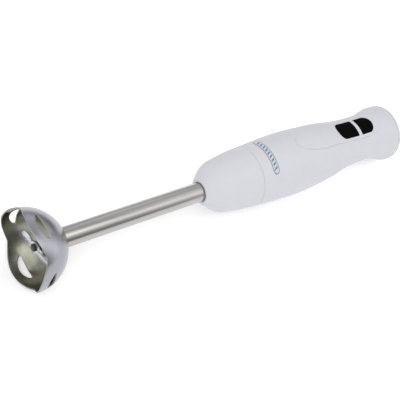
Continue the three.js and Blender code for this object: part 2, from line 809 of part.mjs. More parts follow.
// Stator: a round stack with two flats, two poles and a window beside each side of a pole.
function statorStack() {
  let stack = solid(ring(statorBore, statorRadius, stackLength, innerFacets));
  for (const side of [-1, 1]) {
    const flat = block([-1, statorFlat, -statorRadius], [stackLength + 1, statorRadius + 1, statorRadius]);
    stack = stack.subtract(solid(flat).scale([1, side, 1]));
    for (const pole of [-1, 1]) {
      const low = [-1, poleWidth / 2, coilInnerZ - gap];
      const high = [stackLength + 1, coilHalf + gap, coilOuterZ + gap];
      stack = stack.subtract(solid(block(low, high)).scale([1, side, pole]));
    }
  }
  return stack;
}

add('stator_core', 'laminate', statorStack(), [stackX, 0, 0]);

function fieldCoil() {
  const low = [-coilOverhang, -coilHalf, coilInnerZ];
  const outer = block(low, [stackLength + coilOverhang, coilHalf, coilOuterZ]);
  const core = block([-gap, -coilInner, 0], [stackLength + gap, coilInner, statorRadius]);
  return solid(outer).subtract(solid(core));
}

add('upper_field_coil', 'copper', fieldCoil(), [stackX, 0, 0]);
add('lower_field_coil', 'copper', fieldCoil(), [stackX, 0, 0], 180);

const ringStart = stackX + (stackLength - mountRingLength) / 2;
const ringOuter = Math.min(handleRadius(ringStart), handleRadius(ringStart + mountRingLength)) - handleWall - gap;
const mountRing = ring(statorRadius + gap, ringOuter, mountRingLength, innerFacets);
add('motor_mount_ring', 'blackRubber', mountRing, [ringStart, 0, 0]);

// Rotor: everything that turns on the motor's shaft.
const motorShaftStart = motorCouplingX + gap;
const motorShaftEnd = rearBracketX + bracketHubLength + 1;
const rotorBore = motorShaftRadius + gap;
add('motor_shaft', 'steel', bar(motorShaftRadius, motorShaftEnd - motorShaftStart), [motorShaftStart, 0, 0]);

function rotorStack() {
  let stack = solid(ring(rotorBore, rotorRadius, stackLength, innerFacets));
  const low = [-1, -rotorSlotWidth / 2, rotorRadius - rotorSlotDepth];
  const slot = solid(block(low, [stackLength + 1, rotorSlotWidth / 2, rotorRadius + 1]));
  for (let turn = 0; turn < rotorSlots; turn += 1) {
    stack = stack.subtract(slot.rotate([(360 * turn) / rotorSlots, 0, 0]));
  }
  return stack;
}

add('rotor_core', 'laminate', rotorStack(), [stackX, 0, 0]);
const winding = turned([
  [0, rotorBore],
  [0, windingRadius],
  [windingLength * 0.7, windingRadius],
  [windingLength, windingRadius * 0.8],
  [windingLength, rotorBore],
  [0, rotorBore],
], smallFacets);
add('front_winding', 'copper', winding.clone().rotateY(Math.PI), [stackX - gap, 0, 0]);
add('rear_winding', 'copper', winding, [stackEnd + gap, 0, 0]);
add('commutator', 'copper', ring(rotorBore, commutatorRadius, commutatorLength, innerFacets), [commutatorX, 0, 0]);

function coolingFan() {
  let fan = solid(ring(rotorBore, fanHubRadius, fanLength));
  fan = fan.add(solid(ring(rotorBore, fanRadius, fanDisc, innerFacets)));
  const vane = solid(block([fanDisc / 2, -0.6, fanHubRadius - 1], [fanLength, 0.6, fanRadius - 0.4]));
  for (let blade = 0; blade < fanBlades; blade += 1) {
    fan = fan.add(vane.rotate([(360 * blade) / fanBlades, 0, 0]));
  }
  return fan;
}

const fanStart = frontBracketX + bracketHubLength + 0.8;
add('cooling_fan', 'blackPlastic', coolingFan(), [fanStart, 0, 0]);

// Brush gear: a box above and below the commutator, each with a brush pressed in by a spring.
function brushHolder() {
  const halfX = brushLength / 2 + gap + holderWall;
  const halfY = brushWidth / 2 + gap + holderWall;
  const outer = block([-halfX, -halfY, 0], [halfX, halfY, holderHeight]);
  const pocketX = brushLength / 2 + gap;
  const pocketY = brushWidth / 2 + gap;
  const pocket = block([-pocketX, -pocketY, -1], [pocketX, pocketY, holderHeight - holderWall]);
  return solid(outer).subtract(solid(pocket));
}

const brushX = commutatorX + commutatorLength / 2;
const holderBase = commutatorRadius + 1.2;
const brushBase = commutatorRadius + gap;
const brushSpringBase = brushBase + brushHeight + gap;
const brushSpringHeight = holderBase + holderHeight - holderWall - gap - brushSpringBase;
const halfBrush = [brushLength / 2, brushWidth / 2];
const brush = block([-halfBrush[0], -halfBrush[1], 0], [halfBrush[0], halfBrush[1], brushHeight]);
for (const [side, turn] of [['upper', 0], ['lower', 180]]) {
  const up = turn === 0 ? 1 : -1;
  add(`${side}_brush_holder`, 'bronze', brushHolder(), [brushX, 0, up * holderBase], turn);
  add(`${side}_brush`, 'carbon', brush, [brushX, 0, up * brushBase], turn);
  add(`${side}_brush_spring`, 'steel', spring(1.1, 0.22, brushSpringHeight, 4), [brushX, 0, up * brushSpringBase], turn);
}

// ---- Switching ----------------------------------------------------------------------------------

const boardTop = 0;
const boardStart = buttonFrontX - boardFrontGap;
const boardLow = [boardStart, -boardWidth / 2, boardTop - boardThickness];
add('circuit_board', 'board', block(boardLow, [boardStart + boardLength, boardWidth / 2, boardTop]));

const switchBase = boardTop + gap;
const switchTop = switchBase + switchHeight;
const stemEnd = switchTop + stemEndAbove;

// A microswitch with a pocket for its plunger.
function microswitch() {
  const low = [-switchLength / 2, -switchWidth / 2, 0];
  const body = block(low, [switchLength / 2, switchWidth / 2, switchHeight]);
  const half = plungerSize / 2 + gap;
  const pocket = block([-half, -half, switchHeight - plungerPocket], [half, half, switchHeight + 1]);
  return solid(body).subtract(solid(pocket));
}

// A button: its curved top stands just proud of the panel, with a flange under the panel and a stem.
function pushButton(side, centreX) {
  const crown = handleForm(-buttonProud, handleStart, handleEnd, outlineRows);
  const underside = handleForm(handleWall + gap, handleStart, handleEnd, insideRows, innerFacets);
  const bottom = waistRadius + gripRise - handleWall - buttonDepth;
  const top = crown.intersect(solid(raised(buttonOutline(side, 0), bottom, above)));
  const flange = underside.intersect(solid(raised(buttonOutline(side, buttonFlange), bottom, above)));
  const stem = new THREE.CylinderGeometry(stemRadius, stemRadius, bottom + 1 - stemEnd, 12).rotateX(Math.PI / 2);
  stem.translate(centreX, 0, (bottom + 1 + stemEnd) / 2);
  return { form: top.add(flange).add(solid(stem)), bottom };
}

for (const [name, side] of [['low_speed', -1], ['high_speed', 1]]) {
  const outerX = side < 0 ? buttonFrontX : buttonBackX;
  const centreX = (outerX + buttonFrontX + buttonBarAt + (side * buttonBar) / 2) / 2;
  const { form, bottom } = pushButton(side, centreX);
  add(`${name}_button`, 'blackRubber', form);
  add(`${name}_microswitch`, 'blackPlastic', microswitch(), [centreX, 0, switchBase]);
  const half = plungerSize / 2;
  const plungerLow = switchTop - plungerPocket + buttonTravel + gap;
  const plunger = block([-half, -half, plungerLow], [half, half, stemEnd - gap]);
  add(`${name}_plunger`, 'greyPlastic', plunger, [centreX, 0, 0]);
  const springHeight = bottom - switchTop - 2 * gap;
  add(`${name}_spring`, 'steel', spring(2.7, 0.32, springHeight, 4), [centreX, 0, switchTop + gap]);
}

// A suppression capacitor hangs under the board, and the cord's clamp sits behind it.
const capacitorX = boardStart + boardLength / 2;
const capacitorTop = boardTop - boardThickness - gap;
add('capacitor', 'greyPlastic', block([capacitorX - 9, -6, capacitorTop - 9], [capacitorX + 9, 6, capacitorTop]));

// The clamp's bar lies across the cord's path, held down on the board by a screw at each end.
const clampX = boardStart + boardLength - clampWidth;
const clampBase = boardTop + gap;
function cordClamp() {
  const half = clampLength / 2;
  let strap = solid(block([-clampWidth / 2, -half, 0], [clampWidth / 2, half, clampHeight]));
  const groove = new THREE.CylinderGeometry(cordHoleRadius, cordHoleRadius, clampWidth + 2, 16);
  strap = strap.subtract(solid(groove.rotateZ(Math.PI / 2).translate(0, 0, -cordHoleRadius * 0.55)));
  const hole = new THREE.CylinderGeometry(clampScrewRadius + gap, clampScrewRadius + gap, clampHeight * 3, 12);
  hole.rotateX(Math.PI / 2);
  for (const side of [-1, 1]) {
    strap = strap.subtract(solid(hole.clone().translate(0, side * (half - 2.4), 0)));
  }
  return strap;
}

add('cord_clamp', 'greyPlastic', cordClamp(), [clampX, 0, clampBase]);
const clampScrew = screw(clampHeight - gap).rotateY(Math.PI / 2);
for (const [name, side] of [['left', -1], ['right', 1]]) {
  const place = [clampX, side * (clampLength / 2 - 2.4), clampBase + clampHeight + gap];
  add(`${name}_clamp_screw`, 'steel', clampScrew, place);
}

// ---- Standing the tool on its bell and flare ----------------------------------------------------

const bellFlat = bellRadius * Math.cos(Math.PI / bodyFacets);
const flareFlat = flareRadius * Math.cos(Math.PI / bodyFacets) + flareDrop;
tool.rotation.y = Math.atan2(bellFlat - flareFlat, flareX + rimWaveHeight);
tool.updateMatrixWorld(true);
const bounds = new THREE.Box3().setFromObject(tool, true);
tool.position.x = -(bounds.min.x + bounds.max.x) / 2;
tool.position.y = -(bounds.min.y + bounds.max.y) / 2;
tool.position.z = -bounds.min.z;

const group = new THREE.Group();
group.add(tool);

export default group;
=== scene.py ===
import json
import math

import bmesh
import bpy
import numpy as np
from mathutils import Matrix, Vector


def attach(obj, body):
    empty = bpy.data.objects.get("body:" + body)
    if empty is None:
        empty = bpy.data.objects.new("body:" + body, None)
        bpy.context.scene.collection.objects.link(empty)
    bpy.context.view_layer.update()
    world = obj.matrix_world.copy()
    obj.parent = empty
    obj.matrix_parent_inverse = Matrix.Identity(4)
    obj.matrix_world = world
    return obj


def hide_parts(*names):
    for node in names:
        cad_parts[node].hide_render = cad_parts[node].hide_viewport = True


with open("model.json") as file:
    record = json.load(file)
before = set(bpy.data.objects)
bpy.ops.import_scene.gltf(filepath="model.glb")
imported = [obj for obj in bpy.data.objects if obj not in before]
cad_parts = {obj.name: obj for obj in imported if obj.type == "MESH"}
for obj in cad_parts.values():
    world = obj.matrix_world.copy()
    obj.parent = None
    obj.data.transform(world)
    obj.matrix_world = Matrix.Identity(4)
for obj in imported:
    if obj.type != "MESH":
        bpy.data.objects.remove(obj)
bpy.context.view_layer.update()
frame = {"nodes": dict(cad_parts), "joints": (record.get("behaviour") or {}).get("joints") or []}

# Immersion blender, looks only. Everything is worked out in the tool's own frame, in millimetres:
# x runs along the tool axis from the seam between foot and handle, towards the cord; z is the side
# the buttons face. placed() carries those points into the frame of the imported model, in metres.

spin = next(joint for joint in frame["joints"] if joint["name"] == "motor_spin")
seamPoint = np.array(spin["pos_m"])
axisX = np.array(spin["axis"]) / np.linalg.norm(spin["axis"])
axisY = np.array([0.0, 1.0, 0.0])
axisZ = np.cross(axisX, axisY)
toolAxes = np.stack([axisX, axisY, axisZ])


# millimetres along the tool's axes, turned into the model's axes and added to the seam's place
def placed(points):
    return seamPoint + np.asarray(points, float) * 0.001 @ toolAxes


# a CAD node's corners in the tool's frame: where it starts and ends along the axis, and its radii
def span(node):
    mesh = frame["nodes"][node].data
    flat = np.zeros(len(mesh.vertices) * 3)
    mesh.vertices.foreach_get("co", flat)
    points = (flat.reshape(-1, 3) - seamPoint) @ toolAxes.T * 1000
    radius = np.hypot(points[:, 1], points[:, 2])
    return {"start": points[:, 0].min(), "end": points[:, 0].max(), "outer": radius.max(),
            "inner": radius.min(), "low": points.min(0), "high": points.max(0)}


print("camera")
cameraView = {
    "lens": 92.3,
    "distance": 800.3,  # along the view, to the foot's end of the handle
    "across": 0.0,
    "below": -6.1,
    "aim": -48.08,  # the place on the axis that those three are measured to, from the seam
    "veer": 0.22,  # a small turn of the tool in the picture
    "yaw": 33.0,  # how far the tool leans away from the picture
    "turn": 117.0,  # from straight down in the picture round the tool to the buttons
    "roll": 18.59,
}


# the camera's right, up and forward follow from how the tool leans in the picture
def addCamera():
    view = cameraView
    turn, yaw, veer = (math.radians(view[name]) for name in ("turn", "yaw", "veer"))
    square = -math.sin(turn) * axisY + math.cos(turn) * axisZ
    near = math.cos(turn) * axisY + math.sin(turn) * axisZ
    ahead = math.cos(veer) * axisX + math.sin(veer) * square
    down = math.cos(veer) * square - math.sin(veer) * axisX
    along = math.cos(yaw) * ahead + math.sin(yaw) * near
    forward = math.sin(yaw) * ahead - math.cos(yaw) * near
    roll = math.radians(view["roll"])
    right = math.cos(roll) * along + math.sin(roll) * down
    up = math.sin(roll) * along - math.cos(roll) * down
    target = placed([[view["aim"], 0, 0]])[0]
    place = target - 0.001 * (view["across"] * along + view["below"] * down + view["distance"] * forward)
    data = bpy.data.cameras.new("camera")
    data.lens = view["lens"]
    data.sensor_width = 36
    data.clip_start, data.clip_end = 0.05, 50
    camera = bpy.data.objects.new("camera", data)
    bpy.context.scene.collection.objects.link(camera)
    camera.matrix_world = Matrix([[right[0], up[0], -forward[0], place[0]],
                                  [right[1], up[1], -forward[1], place[1]],
                                  [right[2], up[2], -forward[2], place[2]],
                                  [0, 0, 0, 1]])
    bpy.context.scene.camera = camera


addCamera()


# quads between neighbouring rows of a grid; a wrapped grid joins its last column to its first
def gridFaces(rows, columns, wrap=True, start=0):
    row = np.arange(rows - 1)[:, None] * columns
    column = np.arange(columns if wrap else columns - 1)[None, :]
    following = (column + 1) % columns
    quads = [row + column, row + following, row + columns + following, row + columns + column]
    return np.stack(quads, -1).reshape(-1, 4) + start


# several grids in one mesh: points as rows by columns by three, each with its own material number
def joined(grids):
    points, faces, marks, start = [], [], [], 0
    for grid, wrap, mark in grids:
        rows, columns = grid.shape[:2]
        points.append(grid.reshape(-1, 3))
        made = gridFaces(rows, columns, wrap, start)
        faces.append(made)
        marks.append(np.full(len(made), mark))
        start += rows * columns
    return np.concatenate(points), np.concatenate(faces), np.concatenate(marks)


# a mesh piece from grids: welded, with its faces turned out, smooth but for its sharp folds
def addPiece(name, grids, materials, body, nodes, fold=32):
    points, faces, marks = joined(grids)
    mesh = bpy.data.meshes.new(name)
    mesh.from_pydata(placed(points), [], faces.tolist())
    mesh.polygons.foreach_set("material_index", marks.astype(np.int32))
    work = bmesh.new()
    work.from_mesh(mesh)
    bmesh.ops.remove_doubles(work, verts=work.verts, dist=2e-6)
    bmesh.ops.dissolve_degenerate(work, edges=work.edges, dist=1e-7)
    bmesh.ops.recalc_face_normals(work, faces=work.faces)
    work.to_mesh(mesh)
    work.free()
    mesh.shade_smooth()
    mesh.set_sharp_from_angle(angle=math.radians(fold))
    for material in materials:
        mesh.materials.append(material)
    piece = bpy.data.objects.new(name, mesh)
    bpy.context.scene.collection.objects.link(piece)
    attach(piece, body)
    if nodes:
        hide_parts(*nodes)
    return piece


# each sharp corner of a closed outline becomes a short curve, a blend of the place before the corner,
# the corner and the place after it, weighted (1-t)^2, 2t(1-t) and t^2
def softened(outline, size, steps=4, sharp=25):
    outline = np.asarray(outline, float)
    before, after = np.roll(outline, 1, 0) - outline, np.roll(outline, -1, 0) - outline
    lengthBefore = np.linalg.norm(before, axis=1, keepdims=True)
    lengthAfter = np.linalg.norm(after, axis=1, keepdims=True)
    before, after = before / lengthBefore, after / lengthAfter
    bend = np.degrees(np.arccos(np.clip(-(before * after).sum(1), -1, 1)))
    first = outline + before * np.minimum(size, 0.45 * lengthBefore)
    last = outline + after * np.minimum(size, 0.45 * lengthAfter)
    share = np.linspace(0, 1, steps + 1)[None, :, None]
    curves = (1 - share) ** 2 * first[:, None] + 2 * share * (1 - share) * outline[:, None]
    curves = curves + share ** 2 * last[:, None]
    plain = bend < sharp
    curves[plain, 0] = outline[plain]
    kept = np.ones(curves.shape[:2], bool)
    kept[plain, 1:] = False
    return curves[kept]


# a closed outline of axial place and radius, turned about the tool axis
def turned(outline, columns=128, lift=0.0):
    outline = np.concatenate([outline, outline[:1]])
    angle = np.linspace(0, 2 * np.pi, columns, endpoint=False)[None, :]
    x = np.repeat(outline[:, :1], columns, 1)
    radius = np.maximum(outline[:, 1:2], 0)
    return np.stack([x, -radius * np.sin(angle), radius * np.cos(angle) + lift], -1)


# a block bounded by two radii, two angles and two axial places, as one closed wrapped grid
def sectorBlock(start, end, inner, outer, middle, width, soft=0.3, steps=10):
    half = np.radians(width / 2)
    centre = np.radians(middle)
    section = softened([[start, inner], [end, inner], [end, outer], [start, outer]], soft, 3)
    angle = centre + half * np.linspace(-1, 1, steps + 1)
    x = np.repeat(section[None, :, 0], steps + 1, 0)
    radius = np.repeat(section[None, :, 1], steps + 1, 0)
    turn = np.repeat(angle[:, None], len(section), 1)
    body = np.stack([x, -radius * np.sin(turn), radius * np.cos(turn)], -1)
    middleLow, middleHigh = body[0].mean(0), body[-1].mean(0)
    low = np.repeat(middleLow[None, None], len(section), 1)
    high = np.repeat(middleHigh[None, None], len(section), 1)
    return np.concatenate([low, body, high])


# points spread evenly along an open line, both ends kept
def spread(line, count):
    line = np.asarray(line, float)
    length = np.concatenate([[0], np.cumsum(np.linalg.norm(np.diff(line, axis=0), axis=1))])
    at = np.linspace(0, length[-1], count + 1)
    return np.stack([np.interp(at, length, line[:, 0]), np.interp(at, length, line[:, 1])], -1)


# a loop made of joined open lines, each with its own number of even steps
def loopOf(lines, counts):
    return np.concatenate([spread(line, count)[:-1] for line, count in zip(lines, counts)])


print("materials")


# a new material and its main shader
def newMaterial(name):
    material = bpy.data.materials.new(name)
    material.use_nodes = True
    return material, material.node_tree.nodes["Principled BSDF"]


# noise over the object's own coordinates, stretched by a scale for each direction
def addNoise(tree, scale, stretch, detail=3.0):
    place = tree.nodes.new("ShaderNodeTexCoord")
    mapping = tree.nodes.new("ShaderNodeMapping")
    mapping.inputs["Scale"].default_value = stretch
    mapping.inputs["Rotation"].default_value = (0, math.asin(-axisX[2]), 0)
    noise = tree.nodes.new("ShaderNodeTexNoise")
    noise.inputs["Scale"].default_value = scale
    noise.inputs["Detail"].default_value = detail
    tree.links.new(place.outputs["Object"], mapping.inputs["Vector"])
    tree.links.new(mapping.outputs["Vector"], noise.inputs["Vector"])
    return noise.outputs["Fac"]


# a value carried evenly from one range to another; the first range is the noise's usual one
def spreadValue(tree, source, low, high, first=0.3, last=0.7):
    node = tree.nodes.new("ShaderNodeMapRange")
    node.inputs["From Min"].default_value = first
    node.inputs["From Max"].default_value = last
    node.inputs["To Min"].default_value = low
    node.inputs["To Max"].default_value = high
    tree.links.new(source, node.inputs["Value"])
    return node.outputs["Result"]


# the first colour where the value is 0, the second where it is 1, and a blend between
def mixColour(tree, source, first, second):
    node = tree.nodes.new("ShaderNodeMix")
    node.data_type = "RGBA"
    node.inputs["A"].default_value = (*first, 1)
    node.inputs["B"].default_value = (*second, 1)
    tree.links.new(source, node.inputs["Factor"])
    return node.outputs["Result"]


# one finish: two close colours and two roughnesses mixed by stretched noise, with a shallow bump
def addFinish(name, values):
    material, shader = newMaterial(name)
    tree = material.node_tree
    stretch = values.get("stretch", (1, 1, 1))
    grain = addNoise(tree, values["scale"], stretch)
    colour = mixColour(tree, spreadValue(tree, grain, 0, 1), values["colour"], values["second"])
    tree.links.new(colour, shader.inputs["Base Color"])
    low, high = values["roughness"]
    tree.links.new(spreadValue(tree, grain, low, high), shader.inputs["Roughness"])
    shader.inputs["Metallic"].default_value = values.get("metallic", 0)
    shader.inputs["Specular IOR Level"].default_value = values.get("specular", 0.5)
    if values.get("bump"):
        bump = tree.nodes.new("ShaderNodeBump")
        bump.inputs["Strength"].default_value = values.get("bumpStrength", 0.4)
        bump.inputs["Distance"].default_value = values["bump"]
        fine = addNoise(tree, values.get("bumpScale", values["scale"]), stretch, 2)
        tree.links.new(fine, bump.inputs["Height"])
        tree.links.new(bump.outputs["Normal"], shader.inputs["Normal"])
    return material


alongTool = (0.03, 1, 1)  # noise drawn out along the tool axis
finishes = {
    "whitePlastic": {
        "colour": (0.62, 0.623, 0.668), "second": (0.605, 0.608, 0.653), "roughness": (0.46, 0.54),
        "scale": 90, "bump": 0.00002, "bumpScale": 2600, "bumpStrength": 0.2, "specular": 0.35,
    },
    "buttonRubber": {
        "colour": (0.002, 0.002, 0.002), "second": (0.003, 0.003, 0.003), "roughness": (0.6, 0.7),
        "scale": 700, "bump": 0.00003, "bumpScale": 2500, "specular": 0.02,
    },
    "bellSteel": {
        "colour": (0.345, 0.35, 0.38), "second": (0.33, 0.335, 0.365), "roughness": (0.23, 0.26),
        "scale": 60, "metallic": 1,
    },
    # the bell's own steel on its inner side: a real spun, brushed grain, with its colour darkened and
    # tinted khaki as painted shade inside the dome
    "shadedBellInside": {
        "colour": (0.3, 0.3, 0.255), "second": (0.24, 0.24, 0.2), "roughness": (0.2, 0.27),
        "scale": 500, "stretch": (1, 0.1, 0.1), "metallic": 1, "bump": 0.000003,
        "bumpStrength": 0.1,
    },
    "tubeSteel": {
        "colour": (0.46, 0.445, 0.43), "second": (0.43, 0.415, 0.4), "roughness": (0.2, 0.26),
        "scale": 700, "stretch": alongTool, "metallic": 1, "bump": 0.00001, "bumpStrength": 0.3,
    },
    "bladeSteel": {
        "colour": (0.6, 0.62, 0.66), "second": (0.54, 0.56, 0.6), "roughness": (0.24, 0.3),
        "scale": 1100, "stretch": (1, 0.15, 1), "metallic": 1, "bump": 0.000004,
        "bumpStrength": 0.2,
    },
    # a darker copy of the blade's steel for the thin strip along the cutting edge: painted shade
    "shadedBladeEdge": {
        "colour": (0.2, 0.21, 0.22), "second": (0.14, 0.15, 0.16), "roughness": (0.3, 0.4),
        "scale": 1100, "metallic": 1,
    },
    "machineSteel": {
        "colour": (0.55, 0.55, 0.56), "second": (0.45, 0.45, 0.46), "roughness": (0.28, 0.4),
        "scale": 500, "metallic": 1, "bump": 0.00001,
    },
    "blackPlastic": {
        "colour": (0.018, 0.018, 0.02), "second": (0.026, 0.026, 0.028), "roughness": (0.36, 0.5),
        "scale": 500, "bump": 0.00002, "bumpScale": 2200,
    },
    "blackRubber": {
        "colour": (0.014, 0.014, 0.014), "second": (0.022, 0.021, 0.02), "roughness": (0.6, 0.75),
        "scale": 600, "bump": 0.00003, "bumpScale": 2400,
    },
    "greyPlastic": {
        "colour": (0.4, 0.41, 0.43), "second": (0.36, 0.37, 0.39), "roughness": (0.42, 0.52),
        "scale": 300, "bump": 0.00002, "bumpScale": 2200,
    },
    "copper": {
        "colour": (0.62, 0.27, 0.11), "second": (0.44, 0.17, 0.06), "roughness": (0.22, 0.4),
        "scale": 1400, "stretch": (0.1, 1, 1), "metallic": 1, "bump": 0.00008,
    },
    "bronze": {
        "colour": (0.5, 0.34, 0.15), "second": (0.4, 0.27, 0.12), "roughness": (0.4, 0.55),
        "scale": 1500, "metallic": 1, "bump": 0.00002,
    },
    "carbon": {
        "colour": (0.02, 0.02, 0.021), "second": (0.04, 0.04, 0.042), "roughness": (0.55, 0.7),
        "scale": 1800, "metallic": 0.3,
    },
    "board": {
        "colour": (0.3, 0.19, 0.07), "second": (0.25, 0.15, 0.05), "roughness": (0.45, 0.6),
        "scale": 500, "stretch": (1, 0.2, 1),
    },
    "laminate": {
        "colour": (0.3, 0.31, 0.32), "second": (0.16, 0.16, 0.17), "roughness": (0.35, 0.5),
        "scale": 2000, "stretch": (1, 0.01, 0.01), "metallic": 1, "bump": 0.00006,
    },
    "badgeLine": {
        "colour": (0.2, 0.24, 0.28), "second": (0.23, 0.27, 0.31), "roughness": (0.35, 0.45),
        "scale": 900,
    },
    "badgeStripe": {
        "colour": (0.13, 0.18, 0.22), "second": (0.16, 0.21, 0.25), "roughness": (0.35, 0.45),
        "scale": 900,
    },
    "badgeField": {
        "colour": (0.56, 0.59, 0.65), "second": (0.54, 0.57, 0.63), "roughness": (0.3, 0.4),
        "scale": 400,
    },
}
looks = {name: addFinish(name, values) for name, values in finishes.items()}

# the handle's skin: places along the axis with the radius or the centre's height there
handle = {
    "radii": [(0, 24.7), (19.5, 26.02), (39, 26.7), (61, 25.9), (83, 23.85), (99, 21.15), (118, 19.85),
              (132, 20.2), (147, 23.65), (152, 24.2)],
    "centres": [(0, 0), (61, 0), (83, 0.935), (108.5, 1.7), (127, 1.7), (147, 0), (152, -1.65),
                (158, -1.65)],
    "wall": 2.2,
    "edge": 0.12,
    "patchStart": 36.0,  # the part of the skin with the panel's opening in it
    "patchEnd": 143.0,
    "patchReach": 52,  # degrees to each side of the buttons
    # place from the seam, and how far the skin is drawn in there
    "seamRounding": [(0.0, 0.08), (0.04, 0.03), (0.12, 0.0)],
    "panelProud": 0.12,
}


# a smooth line through its places; the slope at each is the mean of the slopes on both sides
def smoothLine(stations):
    at, value = np.array(stations, float).T
    slope = np.diff(value) / np.diff(at)
    tangent = np.concatenate([slope[:1], (slope[1:] + slope[:-1]) / 2, slope[-1:]])

    def line(x):
        x = np.clip(np.asarray(x, float), at[0], at[-1])
        left = np.clip(np.searchsorted(at, x, side="right") - 1, 0, len(at) - 2)
        width = at[left + 1] - at[left]
        share = (x - at[left]) / width
        rise = share ** 2 * (3 - 2 * share)
        first = share * (1 - share) ** 2 * tangent[left] * width
        last = share ** 2 * (share - 1) * tangent[left + 1] * width
        return value[left] * (1 - rise) + value[left + 1] * rise + first + last

    return line


handleRadius = smoothLine(handle["radii"])
handleCentre = smoothLine(handle["centres"])


# a point of the handle's skin, by its place along the axis and its angle from the button side
def onHandle(x, angle, rise=0.0):
    radius = handleRadius(x) + rise
    return np.stack([x, radius * np.sin(angle), radius * np.cos(angle) + handleCentre(x)], -1)


# the same by its place along the axis and its distance to the side
def overHandle(x, y, rise=0.0):
    radius = handleRadius(x) + rise
    return np.stack([x, y, np.sqrt(radius ** 2 - y ** 2) + handleCentre(x)], -1)


# rows that pass evenly from one loop of flat points to another
def betweenLoops(outer, inner, rows, power=1.0):
    share = (np.linspace(0, 1, rows + 1) ** power)[:, None, None]
    return outer * (1 - share) + inner * share


# part of an ellipse, from one angle to another in degrees
def arcLine(centre, reach, half, start, end, count=40):
    angle = np.radians(np.linspace(start, end, count + 1))
    return np.stack([centre + reach * np.cos(angle), half * np.sin(angle)], -1)


# a curve through control points, by the usual weights for two or three handles
def bezier(controls, count=40):
    controls = np.asarray(controls, float)
    share = np.linspace(0, 1, count + 1)[:, None]
    order = len(controls) - 1
    weights = [math.comb(order, k) * share ** k * (1 - share) ** (order - k) for k in range(order + 1)]
    return sum(weight * control for weight, control in zip(weights, controls))


# gives an open sheet its thickness on the inner side and rounds its cut edges
def thicken(piece, wall, edge):
    solid = piece.modifiers.new("wall", "SOLIDIFY")
    solid.thickness = wall * 0.001
    solid.offset = -1
    solid.use_even_offset = True
    bevel = piece.modifiers.new("edges", "BEVEL")
    bevel.width = edge * 0.001
    bevel.segments = 2
    bevel.limit_method = "ANGLE"
    bevel.angle_limit = math.radians(50)
    return piece


# a turned piece with its sharp corners softened
def addTurned(name, outline, look, body, nodes, soft=0.15, columns=128, lift=0.0, extra=()):
    grids = [(turned(softened(outline, soft, 3), columns, lift), True, 0)]
    grids += [(grid, True, 0) for grid in extra]
    return addPiece(name, grids, [looks[look]], body, nodes)


print("bell")
bellSpan = span("blending_bell")
bell = {
    "wave": 2.4,
    "turn": -3.0,  # about the tool axis, from the line of the buttons
    "wavePower": 1.2,
    "wall": 1.2,
    "slotBack": 9.2,
    "slotHalf": 8.5,
    "slotEnd": 1.6,
    "slotBow": 2.53,
    "slotTip": 0.8,  # share of the rounded end that the bow takes
    "slotShoulder": 0.6,  # share of the half length where the bow's handles are
    "slotSteps": [56, 16, 56, 16],
    "patchTop": 17.0,  # arc length from the rim plane to the plain part of the dome
    "poleRadius": 4.2,
    "throatOuter": 6.5,
    "throatInner": 4.1,
    "throatSunk": 1.1,
    "edge": 0.22,
}
rimX = bellSpan["start"] + bell["wave"]
bellRadius = bellSpan["outer"]


# a point of the dome, by arc length from the rim plane and angle from the button side
def onBell(arc, angle):
    dome = np.maximum(arc, 0) / bellRadius
    radius = bellRadius * np.cos(dome)
    x = np.where(arc < 0, arc, bellRadius * np.sin(dome))
    return np.stack([rimX + x, radius * np.sin(angle), radius * np.cos(angle)], -1)


# the rim's wave: lobes at the slots and pointed valleys between them
def rimArc(angle):
    return bell["wave"] * (1 - 2 * np.abs(np.cos(2 * angle)) ** bell["wavePower"])


# flat points of the slot's outline, as axial place and sideways distance, taken to arc and angle
def slotLine(line):
    arc = bellRadius * np.arcsin(line[:, 0] / bellRadius)
    angle = np.arcsin(line[:, 1] / np.sqrt(bellRadius ** 2 - line[:, 0] ** 2))
    return np.stack([arc, angle], -1)


